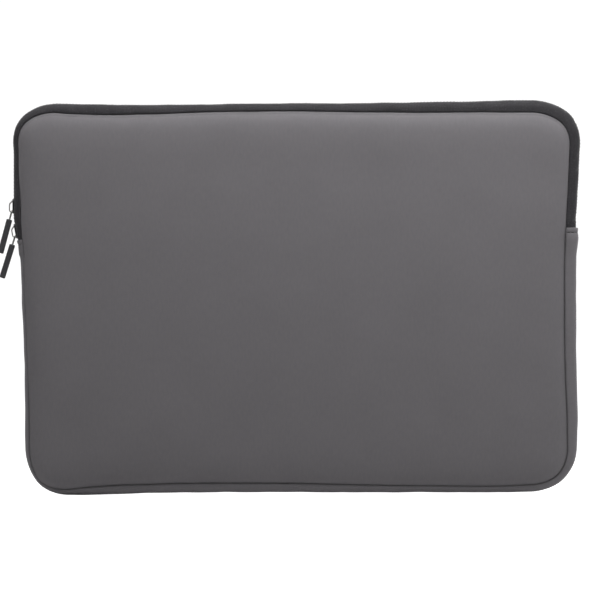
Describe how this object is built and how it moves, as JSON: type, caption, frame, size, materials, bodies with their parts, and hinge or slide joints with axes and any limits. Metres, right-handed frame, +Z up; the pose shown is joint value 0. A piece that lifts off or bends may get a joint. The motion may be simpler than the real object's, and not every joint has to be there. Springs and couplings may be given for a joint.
{
  "type": "laptop sleeve",
  "caption": "Padded neoprene laptop sleeve with a zipper round its mouth, paired sliders with hanging pulls, and a soft gusset round its base.",
  "frame": {"origin": "on the flat underside of the base gusset, midway between the front and back panels", "axes": "+X along the sleeve's width, to the right as seen from the front; -Y out of the front panel; +Z up, from the base to the zippered mouth"},
  "size_m": [0.4076, 0.022, 0.274],
  "materials": {
    "knit_face": "smooth grey jersey knit over neoprene",
    "foam_core": "closed-cell neoprene foam",
    "knit_lining": "dark jersey lining",
    "zipper_tape": "woven polyester tape",
    "seam_binding": "folded woven binding",
    "zipper_coil": "nylon coil",
    "thread": "twisted polyester thread",
    "slider_enamel": "black enamel on die-cast zinc",
    "steel": "nickel-plated steel",
    "pull_grip": "moulded soft-touch charcoal"
  },
  "bodies": {
    "pocket": {"front_face_lower": "knit_face", "front_foam_lower": "foam_core", "front_lining_lower": "knit_lining", "back_face_lower": "knit_face", "back_foam_lower": "foam_core", "back_lining_lower": "knit_lining", "gusset_face": "knit_face", "gusset_foam": "foam_core", "gusset_lining": "knit_lining", "left_hem_stitches": "thread", "right_hem_stitches": "thread", "front_tape_ends": "zipper_tape", "back_tape_ends": "zipper_tape", "front_coil_ends": "zipper_coil", "back_coil_ends": "zipper_coil", "front_binding_lower": "seam_binding", "back_binding_lower": "seam_binding"},
    "front_lip": {"front_face_lip": "knit_face", "front_foam_lip": "foam_core", "front_lining_lip": "knit_lining", "front_tape_lip": "zipper_tape", "front_coil_lip": "zipper_coil", "front_binding_lip": "seam_binding"},
    "back_lip": {"back_face_lip": "knit_face", "back_foam_lip": "foam_core", "back_lining_lip": "knit_lining", "back_tape_lip": "zipper_tape", "back_coil_lip": "zipper_coil", "back_binding_lip": "seam_binding"},
    "upper_slider": {"upper_slider_body": "slider_enamel", "upper_slider_crown": "steel"},
    "upper_pull": {"upper_pull_wire": "steel", "upper_pull_grip": "pull_grip"},
    "lower_slider": {"lower_slider_body": "slider_enamel", "lower_slider_crown": "steel"},
    "lower_pull": {"lower_pull_wire": "steel", "lower_pull_grip": "pull_grip"}
  },
  "joints": [
    {"name": "front_lip_flex", "type": "hinge", "parent": "pocket", "child": "front_lip", "pos_m": [0, -0.011, 0.232], "axis": [1, 0, 0], "range_deg": [0, 60], "stiffness_Nm_per_rad": 0.05},
    {"name": "back_lip_flex", "type": "hinge", "parent": "pocket", "child": "back_lip", "pos_m": [0, 0.011, 0.232], "axis": [-1, 0, 0], "range_deg": [0, 60], "stiffness_Nm_per_rad": 0.05},
    {"name": "upper_slider_run", "type": "slide", "parent": "pocket", "child": "upper_slider", "axis": [0, 0, 1], "range_m": [-0.0012, 0.024]},
    {"name": "lower_slider_run", "type": "slide", "parent": "pocket", "child": "lower_slider", "axis": [-0.1908, 0, 0.9816], "range_m": [-0.0012, 0.0012]},
    {"name": "upper_pull_swing", "type": "hinge", "parent": "upper_slider", "child": "upper_pull", "pos_m": [-0.19948, 0, 0.198], "axis": [0, 1, 0], "range_deg": [-3, 120]},
    {"name": "lower_pull_swing", "type": "hinge", "parent": "lower_slider", "child": "lower_pull", "pos_m": [-0.19716, 0, 0.18032], "axis": [0, 1, 0], "range_deg": [-4, 4]}
  ]
}
